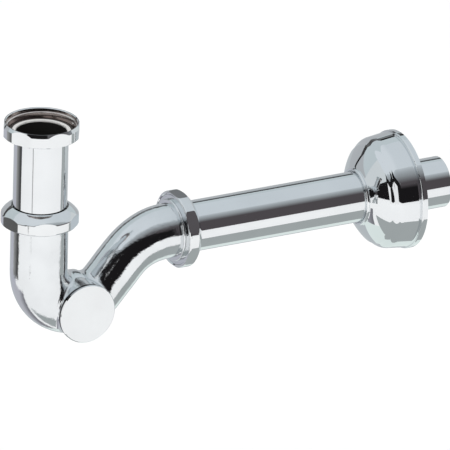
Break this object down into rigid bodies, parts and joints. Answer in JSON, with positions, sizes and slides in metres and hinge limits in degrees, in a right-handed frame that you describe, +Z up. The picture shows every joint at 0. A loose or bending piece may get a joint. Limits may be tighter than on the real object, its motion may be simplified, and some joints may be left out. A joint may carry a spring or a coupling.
{
  "type": "tubular basin trap",
  "caption": "Chromed brass tubular basin trap: nut and tube inlet, cast U-bend with a round cleaning plug, and a straight wall outlet tube with a domed sliding rosette.",
  "frame": {"origin": "middle of the inlet nut's open mouth, where the trap screws on to the basin's waste", "axes": "+Z up along the inlet tube, +X along the outlet tube towards the wall, -Y out of the cleaning plug's face"},
  "size_m": [0.2869, 0.07, 0.1359],
  "materials": {
    "chrome_cast": "polished chrome plate on a brass casting",
    "chrome_turned": "polished chrome plate on turned brass",
    "chrome_tube": "bright chrome plate on drawn brass tube",
    "chrome_sheet": "bright chrome plate on pressed sheet",
    "white_seal": "soft white plastic",
    "slip_plastic": "hard white plastic",
    "rubber_seal": "black rubber"
  },
  "bodies": {
    "body": {"trap_body": "chrome_cast"},
    "inlet_seal": {"inlet_cone_seal": "rubber_seal"},
    "inlet_pipe": {"inlet_tube": "chrome_tube", "inlet_washer": "white_seal"},
    "top_nut": {"inlet_nut": "chrome_turned"},
    "inlet_ring": {"inlet_slip_ring": "slip_plastic"},
    "lower_nut": {"inlet_gland_nut": "chrome_turned"},
    "outlet_seal": {"outlet_cone_seal": "rubber_seal"},
    "outlet_pipe": {"outlet_tube": "chrome_tube"},
    "rosette": {"wall_rosette": "chrome_sheet"},
    "outlet_ring": {"outlet_slip_ring": "slip_plastic"},
    "outlet_nut": {"outlet_gland_nut": "chrome_turned"},
    "plug_ring": {"plug_seal": "rubber_seal"},
    "plug": {"cleaning_plug": "chrome_turned"}
  },
  "joints": [
    {"name": "inlet_swivel", "type": "hinge", "parent": "body", "child": "inlet_seal", "pos_m": [0, 0, 0], "axis": [0, 0, 1], "continuous": true},
    {"name": "inlet_telescope", "type": "slide", "parent": "inlet_seal", "child": "inlet_pipe", "axis": [0, 0, 1], "range_m": [-0.0095, 0.012]},
    {"name": "top_nut_turn", "type": "hinge", "parent": "inlet_pipe", "child": "top_nut", "pos_m": [0, 0, 0], "axis": [0, 0, 1], "continuous": true},
    {"name": "inlet_ring_rise", "type": "slide", "parent": "body", "child": "inlet_ring", "axis": [0, 0, 1], "range_m": [0, 0.00693]},
    {"name": "lower_nut_turn", "type": "hinge", "parent": "inlet_ring", "child": "lower_nut", "pos_m": [0, 0, -0.0525], "axis": [0, 0, 1], "range_deg": [0, 1080]},
    {"name": "outlet_swivel", "type": "hinge", "parent": "body", "child": "outlet_seal", "pos_m": [0.0989, 0, -0.0835], "axis": [1, 0, 0], "continuous": true},
    {"name": "outlet_telescope", "type": "slide", "parent": "outlet_seal", "child": "outlet_pipe", "axis": [1, 0, 0], "range_m": [-0.0008, 0.004]},
    {"name": "rosette_slide", "type": "slide", "parent": "outlet_pipe", "child": "rosette", "axis": [1, 0, 0], "range_m": [-0.095, 0.025]},
    {"name": "outlet_ring_travel", "type": "slide", "parent": "body", "child": "outlet_ring", "axis": [1, 0, 0], "range_m": [0, 0.00693]},
    {"name": "outlet_nut_turn", "type": "hinge", "parent": "outlet_ring", "child": "outlet_nut", "pos_m": [0.0989, 0, -0.0835], "axis": [1, 0, 0], "range_deg": [0, 1080]},
    {"name": "plug_ring_travel", "type": "slide", "parent": "body", "child": "plug_ring", "axis": [0, -1, 0], "range_m": [0, 0.00726]},
    {"name": "plug_turn", "type": "hinge", "parent": "plug_ring", "child": "plug", "pos_m": [0.0216, -0.022, -0.1173], "axis": [0, -1, 0], "range_deg": [0, 1440]}
  ],
  "couplings": [
    {"joint": "inlet_ring_rise", "follows": "lower_nut_turn", "m_per_rad": 0.00036749},
    {"joint": "outlet_ring_travel", "follows": "outlet_nut_turn", "m_per_rad": 0.00036749},
    {"joint": "plug_ring_travel", "follows": "plug_turn", "m_per_rad": 0.00028871}
  ]
}
